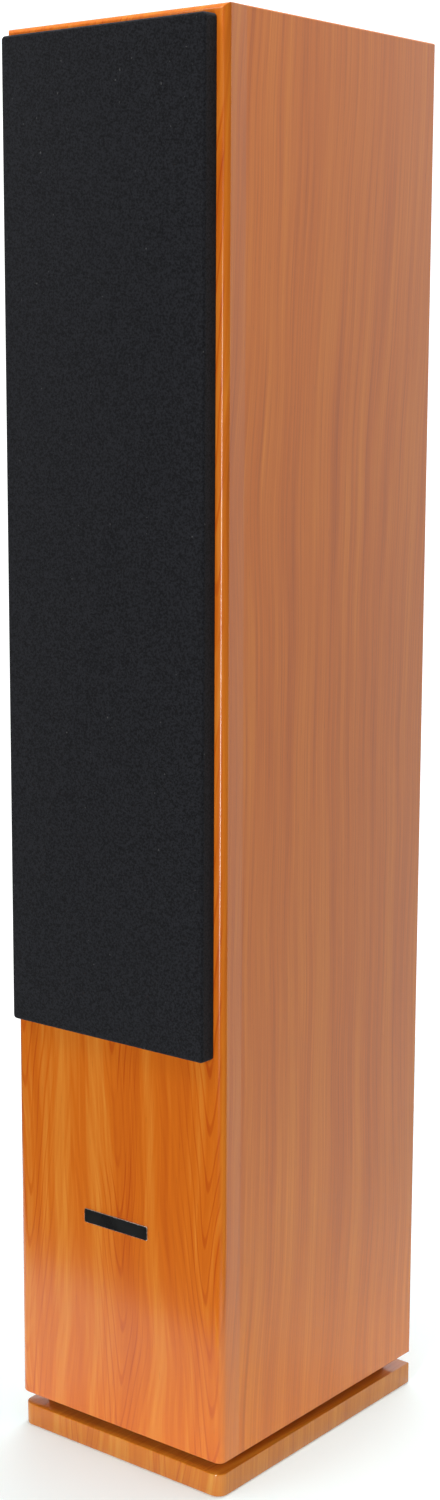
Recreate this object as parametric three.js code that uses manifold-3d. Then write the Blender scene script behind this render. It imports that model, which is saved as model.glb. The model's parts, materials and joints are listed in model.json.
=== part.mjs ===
// Floorstanding loudspeaker: a veneered box on a plinth, three cone drivers and a dome
// tweeter behind a pull-off cloth grille, with a port and a terminal cup in the back.
// Millimetres. +X is to the right seen from the front, +Y runs into the depth, +Z is up.
// The origin is the centre of the plinth's underside.

import * as THREE from 'three';
import { mergeVertices } from 'three/addons/utils/BufferGeometryUtils.js';
import Module from 'manifold-3d';

const wasm = await Module();
wasm.setup();

// ---- Driving dimensions ----

const GAP = 0.3;                 // air left between touching pieces
const WIDTH = 200;               // cabinet, across
const DEPTH = 252;               // cabinet, front to back
const HEIGHT = 1033;             // cabinet, without the plinth
const BOARD = 18;                // side, top, bottom, back and shelf boards
const BAFFLE = 22;               // front board
const EDGE_ROUND = 4.5;          // front upright edges and top front edge
const PLINTH_HEIGHT = 18;
const PLINTH_INSET = 0.8;        // plinth behind the cabinet's front and sides
const PLINTH_ROUND = 9;          // plinth's two front corners
const SPACER_HEIGHT = 9;         // shadow gap
const SPACER_INSET = 15;

const FRONT = -DEPTH / 2;
const BACK = DEPTH / 2;
const BASE = PLINTH_HEIGHT + SPACER_HEIGHT;   // underside of the cabinet
const TOP = BASE + HEIGHT;
const INNER_HALF = WIDTH / 2 - BOARD;         // half the room between the side panels
const INNER_FRONT = FRONT + BAFFLE + GAP;

const DRIVER_PITCH = 192;
const LOWER_WOOFER_Z = 454;
const UPPER_WOOFER_Z = LOWER_WOOFER_Z + DRIVER_PITCH;
const MIDRANGE_Z = UPPER_WOOFER_Z + DRIVER_PITCH;
const TWEETER_Z = 991;
const DRIVER_CUTOUT = 71.5;      // radii
const TWEETER_CUTOUT = 38;
const SHELF_Z = (UPPER_WOOFER_Z + MIDRANGE_Z) / 2;
const BRACE_Z = (LOWER_WOOFER_Z + UPPER_WOOFER_Z) / 2;

const GRILLE = { width: 184, bottom: 336, top: 1053, proud: 13, corner: 4.5, round: 3.5 };
const CLOTH = 0.6;
const CLOTH_SEAM = 0.1;
const GRILLE_BAR = 9;            // width of the grille frame's outer ring
const CROSS_BAR = 12;
const PEG_X = 86.6;
const PEG_HEIGHTS = [350, 694.5, 1039];
const PEG_RADIUS = 3;
const PEG_LENGTH = 8;

const PORT_Z = 330;
const PORT_BORE = 30;            // radius
const PORT_CUTOUT = 42;          // radius of the hole in the back panel
const PORT_END = -10;            // inner end of the tube, along Y
const CUP_Z = 180;
const CUP_RECESS = 69;           // side of the square recess
const CUP_FLOOR = 90;            // outer face of the recess's floor, along Y
const POST_X = 19;
const POST = { stud: 3, knob: 7.4 };   // radii
const PLINTH_BOLT = { x: 66, y: 92 };
const LOOM = { x: -45, y: 60, radius: 3 };

const BADGE = { z: 190, width: 62, height: 11, thickness: 1.2 };

const ROUND_STEPS = 20;          // facets around a visible round part
const HIDDEN_STEPS = 14;         // facets around an inner one

// ---- Materials ----

const finish = (color, roughness, metalness = 0) =>
  new THREE.MeshStandardMaterial({ color, roughness, metalness });

const cherry = finish(0xc0743c, 0.35);
const board = finish(0xa98b62, 0.85);
const blackPaint = finish(0x141414, 0.6);
const blackPlastic = finish(0x17171a, 0.5);
const clothBlack = finish(0x242326, 0.95);
const rubber = finish(0x101010, 0.8);
const conePaper = finish(0x26262a, 0.7);
const silk = finish(0x202024, 0.6);
const spiderCloth = finish(0xb98a3e, 0.9);
const ferrite = finish(0x2b2b2e, 0.55, 0.2);
const coilFormer = finish(0xb87333, 0.4, 0.6);
const brass = finish(0xd2a545, 0.3, 1);
const badgeMetal = finish(0x121212, 0.4, 0.5);
const wadding = finish(0xe6e4dc, 0.98);
const greenBoard = finish(0x2f5d3a, 0.5);
const copper = finish(0xb5622d, 0.35, 0.8);
const wireSleeve = finish(0x303034, 0.8);
const redPlastic = finish(0xa81a1a, 0.35);
const zinc = finish(0x9a9a9e, 0.4, 0.9);

// ---- Geometry helpers ----

function toSolid(geometry) {
  const bare = geometry.clone();
  bare.deleteAttribute('normal');
  bare.deleteAttribute('uv');
  const merged = mergeVertices(bare);
  return new wasm.Manifold(new wasm.Mesh({
    numProp: 3,
    vertProperties: merged.attributes.position.array,
    triVerts: merged.index.array,
  }));
}

function toGeometry(solid) {
  const mesh = solid.getMesh();
  const geometry = new THREE.BufferGeometry();
  geometry.setAttribute('position', new THREE.BufferAttribute(mesh.vertProperties, 3));
  geometry.setIndex(new THREE.BufferAttribute(mesh.triVerts, 1));
  geometry.computeVertexNormals();
  return geometry;
}

const subtract = (base, tools) =>
  toGeometry(tools.reduce((solid, tool) => solid.subtract(toSolid(tool)), toSolid(base)));
const join = (pieces) =>
  toGeometry(pieces.slice(1).reduce((solid, piece) => solid.add(toSolid(piece)), toSolid(pieces[0])));
const overlap = (first, second) => toGeometry(toSolid(first).intersect(toSolid(second)));

// A block between two corners.
function block([x0, y0, z0], [x1, y1, z1]) {
  const geometry = new THREE.BoxGeometry(x1 - x0, y1 - y0, z1 - z0);
  return geometry.translate((x0 + x1) / 2, (y0 + y1) / 2, (z0 + z1) / 2);
}

// A cylinder along Y, from y0 to y1, on the axis (x, z).
function boreY(radius, y0, y1, x = 0, z = 0, steps = ROUND_STEPS) {
  const geometry = new THREE.CylinderGeometry(radius, radius, y1 - y0, steps);
  return geometry.translate(x, (y0 + y1) / 2, z);
}

// A cylinder along Z, from z0 to z1, on the axis (x, y).
function boreZ(radius, z0, z1, x = 0, y = 0, steps = 16) {
  const geometry = new THREE.CylinderGeometry(radius, radius, z1 - z0, steps);
  return geometry.rotateX(Math.PI / 2).translate(x, y, (z0 + z1) / 2);
}

// A body turned about Y from [radius, y] pairs that start and end on the axis, or enclose it.
function turned(profile, steps = ROUND_STEPS) {
  const points = profile.map(([radius, y]) => new THREE.Vector2(radius, y));
  if (THREE.ShapeUtils.area(points) < 0) {
    points.reverse();
  }
  const closedOnAxis = points[0].x === 0 && points[points.length - 1].x === 0;
  if (!closedOnAxis) {
    points.push(points[0].clone());
  }
  return new THREE.LatheGeometry(points, steps);
}

// A rectangle whose four corners are rounded by the radii [-x-y, +x-y, +x+y, -x+y].
function roundedRectangle(x0, y0, x1, y1, [r0, r1, r2, r3]) {
  const shape = new THREE.Shape();
  shape.moveTo(x0 + r0, y0);
  shape.lineTo(x1 - r1, y0);
  if (r1) shape.absarc(x1 - r1, y0 + r1, r1, -Math.PI / 2, 0, false);
  shape.lineTo(x1, y1 - r2);
  if (r2) shape.absarc(x1 - r2, y1 - r2, r2, 0, Math.PI / 2, false);
  shape.lineTo(x0 + r3, y1);
  if (r3) shape.absarc(x0 + r3, y1 - r3, r3, Math.PI / 2, Math.PI, false);
  shape.lineTo(x0, y0 + r0);
  if (r0) shape.absarc(x0 + r0, y0 + r0, r0, Math.PI, 1.5 * Math.PI, false);
  return shape;
}

// Extrudes an XY outline up from z0.
function upright(shape, z0, height) {
  const geometry = new THREE.ExtrudeGeometry(shape, { depth: height, bevelEnabled: false, curveSegments: 5 });
  return geometry.translate(0, 0, z0);
}

// Stands an XY outline up in the XZ plane and extrudes it from y0 towards +Y.
function standing(shape, y0, thickness) {
  const geometry = new THREE.ExtrudeGeometry(shape, { depth: thickness, bevelEnabled: false, curveSegments: 4 });
  return geometry.rotateX(Math.PI / 2).translate(0, y0 + thickness, 0);
}

const speaker = new THREE.Group();

function add(name, geometry, material, parent = speaker) {
  const mesh = new THREE.Mesh(geometry, material);
  mesh.name = name;
  parent.add(mesh);
  return mesh;
}

// ---- Plinth ----

const boltPlaces = [-1, 1].flatMap((sx) => [-1, 1].map((sy) => [sx * PLINTH_BOLT.x, sy * PLINTH_BOLT.y]));
const BOLT = { head: 5.5, headHeight: 3.5, shank: 2.6, length: 40, recess: 1.5 };

function boltHoles(z0, z1) {
  return boltPlaces.map(([x, y]) => boreZ(BOLT.shank + GAP, z0, z1, x, y, 8));
}

function addPlinth() {
  const half = WIDTH / 2 - PLINTH_INSET;
  const outline = roundedRectangle(-half, FRONT + PLINTH_INSET, half, BACK, [PLINTH_ROUND, PLINTH_ROUND, 0, 0]);
  const headBores = boltPlaces.map(([x, y]) =>
    boreZ(BOLT.head + GAP, -1, BOLT.recess + BOLT.headHeight + GAP, x, y, 10));
  const base = subtract(upright(outline, 0, PLINTH_HEIGHT - GAP),
    [...headBores, ...boltHoles(-1, PLINTH_HEIGHT + 1)]);
  add('plinth_base', base, cherry);

  const spacer = block(
    [-WIDTH / 2 + SPACER_INSET, FRONT + SPACER_INSET, PLINTH_HEIGHT],
    [WIDTH / 2 - SPACER_INSET, BACK - SPACER_INSET, BASE - GAP]);
  add('plinth_spacer', subtract(spacer, boltHoles(PLINTH_HEIGHT - 1, BASE + 1)), blackPaint);

  boltPlaces.forEach(([x, y], index) => {
    const shoulder = BOLT.recess + BOLT.headHeight;
    const bolt = turned([[0, BOLT.recess], [BOLT.head, BOLT.recess], [BOLT.head, shoulder],
      [BOLT.shank, shoulder], [BOLT.shank, BOLT.length], [0, BOLT.length]], 8);
    add(`plinth_bolt_${index + 1}`, bolt.rotateX(Math.PI / 2), zinc).position.set(x, y, 0);
  });
}

// ---- Cabinet boards ----

const driverHeights = [LOWER_WOOFER_Z, UPPER_WOOFER_Z, MIDRANGE_Z];
const socketPlaces = PEG_HEIGHTS.flatMap((z) => [[-PEG_X, z], [PEG_X, z]]);
const SOCKET = { radius: 5, depth: 11, bore: PEG_RADIUS + 0.4 };

function addBaffle() {
  const plan = roundedRectangle(-WIDTH / 2, FRONT, WIDTH / 2, FRONT + BAFFLE, [EDGE_ROUND, EDGE_ROUND, 0, 0]);
  // The same board seen from the side, drawn as (y, z), with its top front edge rounded.
  const side = roundedRectangle(FRONT, BASE, FRONT + BAFFLE, TOP, [0, 0, 0, EDGE_ROUND]);
  const sideSolid = upright(side, -WIDTH / 2 - 1, WIDTH + 2)
    .applyMatrix4(new THREE.Matrix4().set(0, 0, 1, 0, 1, 0, 0, 0, 0, 1, 0, 0, 0, 0, 0, 1));
  const panel = overlap(upright(plan, BASE, HEIGHT), sideSolid);
  const holes = [
    ...driverHeights.map((z) => boreY(DRIVER_CUTOUT, FRONT - 1, FRONT + BAFFLE + 1, 0, z)),
    boreY(TWEETER_CUTOUT, FRONT - 1, FRONT + BAFFLE + 1, 0, TWEETER_Z),
    ...socketPlaces.map(([x, z]) => boreY(SOCKET.radius + GAP, FRONT - 1, FRONT + SOCKET.depth + GAP, x, z, 10)),
  ];
  add('front_baffle', subtract(panel, holes), cherry);
}

function addBoxPanels() {
  for (const [name, sign] of [['side_panel_left', -1], ['side_panel_right', 1]]) {
    const x = [sign * INNER_HALF, sign * WIDTH / 2].sort((a, b) => a - b);
    add(name, block([x[0], INNER_FRONT, BASE], [x[1], BACK, TOP]), cherry);
  }
  const half = INNER_HALF - GAP;
  add('top_panel', block([-half, INNER_FRONT, TOP - BOARD], [half, BACK, TOP]), cherry);
  const bottom = block([-half, INNER_FRONT, BASE], [half, BACK, BASE + BOARD]);
  add('bottom_panel', subtract(bottom, boltHoles(BASE - 1, BASE + BOARD + 1)), cherry);

  const back = block([-half, BACK - BOARD, BASE + BOARD + GAP], [half, BACK, TOP - BOARD - GAP]);
  const cupHalf = CUP_RECESS / 2 + 3.5;
  add('back_panel', subtract(back, [
    boreY(PORT_CUTOUT, BACK - BOARD - 1, BACK + 1, 0, PORT_Z),
    block([-cupHalf, BACK - BOARD - 1, CUP_Z - cupHalf], [cupHalf, BACK + 1, CUP_Z + cupHalf]),
  ]), cherry);
}

function addShelves() {
  const half = INNER_HALF - GAP;
  const rear = BACK - BOARD - GAP;
  const shelf = (z) => block([-half, INNER_FRONT, z - BOARD / 2], [half, rear, z + BOARD / 2]);
  const wireHole = boreZ(LOOM.radius + 2, SHELF_Z - BOARD, SHELF_Z + BOARD, LOOM.x, LOOM.y, 12);
  add('midrange_shelf', subtract(shelf(SHELF_Z), [wireHole]), board);
  const windowHalf = 50;
  const window = block([-windowHalf, -30, BRACE_Z - BOARD], [windowHalf, 68, BRACE_Z + BOARD]);
  add('window_brace', subtract(shelf(BRACE_Z), [window]), board);
}

function addWadding() {
  const rear = BACK - BOARD - GAP;
  const pad = block([-70, rear - 30, PORT_Z + 52], [70, rear, BRACE_Z - BOARD / 2 - 4]);
  add('damping_pad', pad, wadding);
}

// ---- Drivers: every profile is [radius, depth behind the baffle's face] ----

const FLANGE = { radius: 81, face: -3.5 };
const MAGNET_FRONT = 58.3;

function basket() {
  const body = turned([
    [FLANGE.radius, -GAP], [FLANGE.radius, -2.9], [80, FLANGE.face], [72, FLANGE.face],
    [71, -1.4], [66, -1.4], [66, 2.6], [44, 51.9], [18, 51.9], [18, 58], [46.5, 58],
    [70.5, 4], [70.5, -GAP],
  ]);
  const windows = [0, Math.PI / 2].map((turn) =>
    new THREE.BoxGeometry(160, 34, 42).translate(0, 29, 0).rotateY(turn));
  return subtract(body, windows);
}

// Half-roll rubber ring between the basket's ledge and the cone's rim.
function surround() {
  const lip = -2.6;
  const roll = { radius: 61, outer: 5, inner: 4.2 };
  const arc = (size, from, to, steps) => Array.from({ length: steps + 1 }, (_, i) => {
    const angle = from + (to - from) * i / steps;
    return [roll.radius + size * Math.cos(angle), lip - size * Math.sin(angle)];
  });
  return turned([
    [70.5, lip + 0.9], [70.5, lip], ...arc(roll.outer, 0, Math.PI, 4), [roll.radius - roll.outer, 0.9],
    [52, 0.9], [52, 1.9], [roll.radius - roll.inner, 1.9],
    ...arc(roll.inner, Math.PI, 0, 3).slice(0, -1), [roll.radius + roll.inner, lip + 0.9],
  ]);
}

const CONE = { rim: 54.5, rimDepth: 2.3, neck: 15.2, neckDepth: 27.5, skin: 1.3 };

const coneDepthAt = (radius) => CONE.rimDepth
  + (CONE.rim - radius) / (CONE.rim - CONE.neck) * (CONE.neckDepth - CONE.rimDepth);

function cone() {
  return turned([
    [CONE.rim, CONE.rimDepth], [CONE.rim, CONE.rimDepth + CONE.skin],
    [CONE.neck, CONE.neckDepth + CONE.skin], [CONE.neck, CONE.neckDepth],
  ]);
}

function dustCap() {
  const rim = 24;
  const rise = 8;
  const rimDepth = coneDepthAt(rim) - 2 * GAP;
  const dome = (inset) => Array.from({ length: 4 }, (_, i) => {
    const angle = i / 3 * Math.PI / 2;
    return [i === 3 ? 0 : (rim - inset) * Math.cos(angle), rimDepth - (rise - inset) * Math.sin(angle)];
  });
  return turned([...dome(0), ...dome(0.9).reverse()]);
}

const spider = () => turned([
  [43.6, 51.5], [38, 51.5], [31, 48.6], [23, 50.2], [14.2, 49.5],
  [14.2, 48.7], [23, 49.3], [31, 47.7], [38.4, 50.6], [43.6, 50.6],
], HIDDEN_STEPS);

const voiceCoil = () => turned([[13, 29.5], [13.8, 29.5], [13.8, 73.5], [13, 73.5]], HIDDEN_STEPS);

const magnet = () => turned([
  [0, MAGNET_FRONT + 0.5], [12, MAGNET_FRONT + 0.5], [12, 80], [14.9, 80], [14.9, MAGNET_FRONT],
  [44, MAGNET_FRONT], [44, 64], [48, 64], [48, 80], [42, 80], [42, 86], [0, 86],
], HIDDEN_STEPS);

function addDriver(name, z) {
  const driver = new THREE.Group();
  driver.position.set(0, FRONT, z);
  speaker.add(driver);
  add(`${name}_basket`, basket(), blackPlastic, driver);
  add(`${name}_surround`, surround(), rubber, driver);
  add(`${name}_cone`, cone(), conePaper, driver);
  add(`${name}_dust_cap`, dustCap(), conePaper, driver);
  add(`${name}_spider`, spider(), spiderCloth, driver);
  add(`${name}_voice_coil`, voiceCoil(), coilFormer, driver);
  add(`${name}_magnet`, magnet(), ferrite, driver);
}

function addTweeter() {
  const tweeter = new THREE.Group();
  tweeter.position.set(0, FRONT, TWEETER_Z);
  speaker.add(tweeter);
  add('tweeter_faceplate', turned([
    [52, -GAP], [52, -2.9], [51.4, FLANGE.face], [27, FLANGE.face], [17, -1.4], [17, -GAP],
  ]), blackPlastic, tweeter);
  const dome = (radius, height, base, steps) => Array.from({ length: steps + 1 }, (_, i) => {
    const angle = i / steps * Math.PI / 2;
    return [i === steps ? 0 : radius * Math.cos(angle), base - height * Math.sin(angle)];
  });
  add('tweeter_dome', turned([
    ...dome(12.6, 5, -0.6, 4), ...dome(12, 4.5, -0.6, 3).reverse(), [12, 6], [12.6, 6], [12.6, 0.6],
    [14.4, -0.6], [16.2, 0.6], [16.2, 0.2], [14.4, -1.2], [12.6, -0.9],
  ].filter(([radius], index, all) => index === 0 || radius !== 0 || all[index - 1][0] !== 0)), silk, tweeter);
  add('tweeter_magnet', turned([
    [0, 1.2], [11.2, 1.2], [11.2, 9], [13.4, 9], [13.4, 1.2], [30, 1.2], [30, 8], [36, 8], [36, 26],
    [30, 26], [30, 30], [0, 30],
  ], HIDDEN_STEPS), ferrite, tweeter);
}

// ---- Grille ----

// A slab facing -Y between the faces y0 and y1, with rounded corners and a rounded front rim.
function roundedTray(half, bottom, top, y0, y1, corner, round) {
  const radius = Math.max(corner - round, 0.5);
  const outline = roundedRectangle(-half + round, bottom + round, half - round, top - round,
    [radius, radius, radius, radius]);
  const depth = y1 - y0;
  const slab = new THREE.ExtrudeGeometry(outline, {
    depth, bevelThickness: round, bevelSize: round, bevelSegments: 3, curveSegments: 2,
  });
  slab.rotateX(Math.PI / 2).translate(0, y0 + depth + round, 0);
  return subtract(slab, [block([-half - 1, y1, bottom - 1], [half + 1, y1 + 3 * round, top + 1])]);
}

function addGrille() {
  const { bottom, top, corner, round } = GRILLE;
  const half = GRILLE.width / 2;
  const face = FRONT - GRILLE.proud;
  const tray = (inset, y1) => roundedTray(half - inset, bottom + inset, top - inset, face + inset, y1,
    corner - inset, round - inset);

  const cloth = subtract(tray(0, FRONT - 2 * GAP), [tray(CLOTH, FRONT + 5)]);
  const flat = (edge) =>
    block([-half + edge, face - 1, bottom + edge], [half - edge, FRONT + 1, top - edge]);
  add('grille_cloth', overlap(cloth, flat(round + CLOTH_SEAM)), clothBlack);
  add('grille_cloth_wrap', subtract(cloth, [flat(round)]), clothBlack);

  const rim = CLOTH + GAP;
  const inner = rim + GRILLE_BAR;
  const barEdges = [bottom + inner, BRACE_Z - CROSS_BAR / 2, BRACE_Z + CROSS_BAR / 2,
    SHELF_Z - CROSS_BAR / 2, SHELF_Z + CROSS_BAR / 2, top - inner];
  const windows = [0, 2, 4].map((i) =>
    block([-half + inner, face - 1, barEdges[i]], [half - inner, FRONT + 1, barEdges[i + 1]]));
  const pegs = socketPlaces.map(([x, z]) => boreY(PEG_RADIUS, FRONT - 2, FRONT + PEG_LENGTH, x, z, 8));
  add('grille_frame', join([subtract(tray(rim, FRONT - GAP), windows), ...pegs]), blackPlastic);

  socketPlaces.forEach(([x, z], index) => {
    const socket = turned([[0, SOCKET.depth], [SOCKET.radius, SOCKET.depth], [SOCKET.radius, GAP],
      [SOCKET.bore, GAP], [SOCKET.bore, SOCKET.depth - 2], [0, SOCKET.depth - 2]], 10);
    add(`grille_socket_${index + 1}`, socket, rubber).position.set(x, FRONT, z);
  });
}

function addBadge() {
  const { width, height, thickness } = BADGE;
  const corner = 0.8;
  const plate = roundedRectangle(-width / 2, BADGE.z - height / 2, width / 2, BADGE.z + height / 2,
    [corner, corner, corner, corner]);
  add('badge_plate', standing(plate, FRONT - GAP - thickness, thickness), badgeMetal);
}

// ---- Back: port and terminals ----

function addPort() {
  const flare = { mouth: 40, depth: 23, steps: 5 };
  const lip = BACK + 3;
  const curve = Array.from({ length: flare.steps + 1 }, (_, i) => {
    const angle = i / flare.steps * Math.PI / 2;
    return [flare.mouth - (flare.mouth - PORT_BORE) * Math.sin(angle), lip - flare.depth * (1 - Math.cos(angle))];
  });
  add('port_tube', turned([
    [50, BACK + GAP], [50, lip - 0.8], [49, lip], ...curve, [PORT_BORE, PORT_END], [PORT_BORE + 2.5, PORT_END],
    [PORT_BORE + 2.5, BACK - 26], [PORT_CUTOUT - 2 * GAP, BACK - 8], [PORT_CUTOUT - 2 * GAP, BACK + GAP],
  ]), blackPlastic).position.set(0, 0, PORT_Z);
}

function addTerminals() {
  const corner = 5;
  const flange = standing(roundedRectangle(-46, CUP_Z - 46, 46, CUP_Z + 46, [corner, corner, corner, corner]),
    BACK + GAP, 2.7);
  const bodyHalf = CUP_RECESS / 2 + 2.5;
  const body = block([-bodyHalf, CUP_FLOOR - 2.5, CUP_Z - bodyHalf], [bodyHalf, BACK + 1, CUP_Z + bodyHalf]);
  const recess = block([-CUP_RECESS / 2, CUP_FLOOR, CUP_Z - CUP_RECESS / 2],
    [CUP_RECESS / 2, BACK + 5, CUP_Z + CUP_RECESS / 2]);
  const studHoles = [-1, 1].map((sign) => boreY(POST.stud + 0.4, CUP_FLOOR - 4, CUP_FLOOR + 1,
    sign * POST_X, CUP_Z, 12));
  add('terminal_cup', subtract(join([flange, body]), [recess, ...studHoles]), blackPlastic);

  for (const [colour, sign, material] of [['red', 1, redPlastic], ['black', -1, blackPlastic]]) {
    const post = new THREE.Group();
    post.position.set(sign * POST_X, CUP_FLOOR, CUP_Z);
    speaker.add(post);
    const bore = POST.stud + 0.4;
    add(`${colour}_binding_post`, turned([
      [0, -12], [POST.stud, -12], [POST.stud, GAP], [7, GAP], [7, 4], [POST.stud, 4], [POST.stud, 28.5], [0, 28.5],
    ], 12), brass, post);
    add(`${colour}_clamp_washer`, turned([[bore, 4.3], [6.4, 4.3], [6.4, 6.3], [bore, 6.3]], 16), brass, post);
    add(`${colour}_terminal_knob`, turned([
      [bore, 6.6], [POST.knob, 6.6], [POST.knob, 30], [POST.knob - 0.8, 31], [0, 31], [0, 29], [bore, 29],
    ], 16), material, post);
  }
}

// ---- Crossover and wiring ----

function addCrossover() {
  const floor = BASE + BOARD;
  const boardZ = floor + 7;
  const componentZ = boardZ + 1.6 + GAP;
  const standoffs = [[-70, -65], [40, -65], [-70, 45], [40, 45]].map(([x, y]) =>
    boreZ(3, floor + GAP, boardZ + 0.5, x, y, 8));
  const board = block([-75, -70, boardZ], [45, 50, boardZ + 1.6]);
  const capacitorRadius = 11;
  const capacitor = boreY(capacitorRadius, -21, 21, 0, 0, 16).rotateZ(Math.PI / 2)
    .translate(10, -30, boardZ + 1.4 + capacitorRadius);
  add('crossover_board', join([board, capacitor, ...standoffs]), greenBoard);

  const coil = turned([[9, 0], [22, 0], [22, 17], [9, 17]], 18).rotateX(Math.PI / 2);
  add('crossover_inductor', coil, copper).position.set(-42, -32, componentZ);
}

function addLoom() {
  const section = new THREE.Shape();
  section.absarc(0, 0, LOOM.radius, 0, 2 * Math.PI, false);
  const tweeterBack = FRONT + 38;
  const route = new THREE.CatmullRomCurve3([
    [LOOM.x, 20, 62], [LOOM.x, 48, 76], [LOOM.x, LOOM.y, 130], [LOOM.x, LOOM.y, 330], [LOOM.x, LOOM.y, BRACE_Z],
    [LOOM.x, LOOM.y, SHELF_Z], [LOOM.x, LOOM.y, 880], [LOOM.x, 40, 960], [-30, -30, TWEETER_Z], [-12, tweeterBack, TWEETER_Z],
  ].map(([x, y, z]) => new THREE.Vector3(x, y, z)), false, 'centripetal');
  add('wiring_loom', new THREE.ExtrudeGeometry(section, { steps: 36, extrudePath: route, curveSegments: 3 }),
    wireSleeve);
}

addPlinth();
addBaffle();
addBoxPanels();
addShelves();
addWadding();
addDriver('lower_woofer', LOWER_WOOFER_Z);
addDriver('upper_woofer', UPPER_WOOFER_Z);
addDriver('midrange', MIDRANGE_Z);
addTweeter();
addGrille();
addBadge();
addPort();
addTerminals();
addCrossover();
addLoom();

export default speaker;
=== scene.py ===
"""Looks of the floorstanding speaker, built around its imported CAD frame. Sizes are in metres."""
import json
import math

import bmesh
import bpy
from mathutils import Matrix, Vector, noise


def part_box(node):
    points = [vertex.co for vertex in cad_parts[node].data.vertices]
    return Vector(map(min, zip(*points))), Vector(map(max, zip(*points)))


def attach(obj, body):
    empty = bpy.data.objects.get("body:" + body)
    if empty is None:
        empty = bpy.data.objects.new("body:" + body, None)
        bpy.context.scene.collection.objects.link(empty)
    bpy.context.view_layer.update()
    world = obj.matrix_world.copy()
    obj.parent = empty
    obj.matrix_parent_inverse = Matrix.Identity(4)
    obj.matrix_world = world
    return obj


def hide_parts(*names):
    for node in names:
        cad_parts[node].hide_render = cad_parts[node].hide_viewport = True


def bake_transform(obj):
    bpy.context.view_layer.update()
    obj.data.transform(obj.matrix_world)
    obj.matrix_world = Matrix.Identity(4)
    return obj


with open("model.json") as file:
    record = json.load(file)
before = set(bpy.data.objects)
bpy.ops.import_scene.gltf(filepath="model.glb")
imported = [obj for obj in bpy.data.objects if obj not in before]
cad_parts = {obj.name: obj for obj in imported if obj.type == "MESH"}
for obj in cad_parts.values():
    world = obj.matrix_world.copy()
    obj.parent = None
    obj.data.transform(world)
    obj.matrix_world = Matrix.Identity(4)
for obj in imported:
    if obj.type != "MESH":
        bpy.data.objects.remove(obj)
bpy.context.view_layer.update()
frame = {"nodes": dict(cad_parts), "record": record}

MM = 0.001
CABINET = "cabinet"
SHARP_ANGLE = 32             # degrees between faces past which an edge stays crisp
FINE_STEPS = 96              # steps round a large round piece
CORNER_STEPS = 6
ARC_STEPS = 14


# ---- Shader node helpers ----

class Tree:
    """Adds shader nodes to one node tree in short calls."""

    def __init__(self, tree):
        self.tree = tree

    def add(self, kind, inputs=None, **settings):
        node = self.tree.nodes.new(kind)
        for name, value in settings.items():
            setattr(node, name, value)
        for name, value in (inputs or {}).items():
            self.set(node.inputs[name], value)
        return node

    def set(self, socket, value):
        if isinstance(value, bpy.types.NodeSocket):
            self.tree.links.new(value, socket)
        else:
            socket.default_value = value

    def math(self, operation, first, second=0.0):
        return self.add("ShaderNodeMath", {0: first, 1: second}, operation=operation).outputs[0]

    def plus(self, first, second):
        return self.math("ADD", first, second)

    def minus(self, first, second):
        return self.math("SUBTRACT", first, second)

    def times(self, first, second):
        return self.math("MULTIPLY", first, second)

    def combine(self, x, y, z):
        return self.add("ShaderNodeCombineXYZ", {"X": x, "Y": y, "Z": z}).outputs[0]

    def split(self, vector):
        return self.add("ShaderNodeSeparateXYZ", {"Vector": vector}).outputs

    def noise(self, vector, scale=1.0, detail=2.0, roughness=0.5):
        values = {"Vector": vector, "Scale": scale, "Detail": detail, "Roughness": roughness}
        return self.add("ShaderNodeTexNoise", values).outputs[0]

    def range(self, value, low, high, to_low=0.0, to_high=1.0, smooth=True):
        values = {"Value": value, 1: low, 2: high, 3: to_low, 4: to_high}
        kind = "SMOOTHSTEP" if smooth else "LINEAR"
        return self.add("ShaderNodeMapRange", values, interpolation_type=kind).outputs[0]

    def ramp(self, factor, stops):
        node = self.add("ShaderNodeValToRGB", {"Fac": factor})
        elements = node.color_ramp.elements
        while len(elements) < len(stops):
            elements.new(0.5)
        for element, (place, colour) in zip(elements, stops):
            element.position = place
            element.color = (*colour, 1)
        return node.outputs[0]

    def mix(self, factor, first, second):
        node = self.add("ShaderNodeMix", data_type="RGBA")
        self.set(node.inputs[0], factor)
        self.set(node.inputs[6], first)
        self.set(node.inputs[7], second)
        return node.outputs[2]

    def bump(self, height, strength, distance):
        values = {"Height": height, "Strength": strength, "Distance": distance}
        return self.add("ShaderNodeBump", values).outputs[0]


def new_material(name, **shader):
    """A Principled material with constants on its own sockets, and a Tree to add nodes to it."""
    material = bpy.data.materials.new(name)
    material.use_nodes = True
    tree = Tree(material.node_tree)
    principled = material.node_tree.nodes["Principled BSDF"]
    for socket, value in shader.items():
        principled.inputs[socket.replace("_", " ")].default_value = value
    return material, tree, principled


# ---- Cherry veneer ----

# Colours of the dark, middle and light streaks, and the figure values that they belong to.
FIGURED_CHERRY = ((0.54, 0.085, 0.004), (0.70, 0.166, 0.009), (0.84, 0.325, 0.045))
# The plain-cut colours of the sides and top are paler than the front's: partly the plainer cut, partly
# painted light that brightens the side faces.
PLAIN_CHERRY_WITH_PAINTED_LIGHT = ((0.53, 0.118, 0.012), (0.76, 0.198, 0.016), (0.93, 0.320, 0.030))
STREAK_VALUES = (0.33, 0.5, 0.67)
PORE_COLOUR = (0.16, 0.035, 0.006, 1)

COLUMN_PITCH = 0.088         # distance between the cathedral figures across the veneer
FIGURE_SLOPE = 0.12          # sideways growth of a cathedral over its height
FIGURE_TIP = 0.004           # roundness of a cathedral's tip
RING_PITCH = 0.0052          # spacing of the dark late-wood lines
RING_DARKNESS = 0.11
GRAIN_LEAN = 0.025           # sideways drift of the straight grain over its height


def stretched_noise(tree, across, along, cells, layer, detail, roughness=0.5):
    """Noise with so many cells for each metre across and along the grain."""
    place = tree.combine(tree.times(across, cells[0]), tree.times(along, cells[1]), layer)
    return tree.noise(place, 1, detail, roughness)


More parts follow.
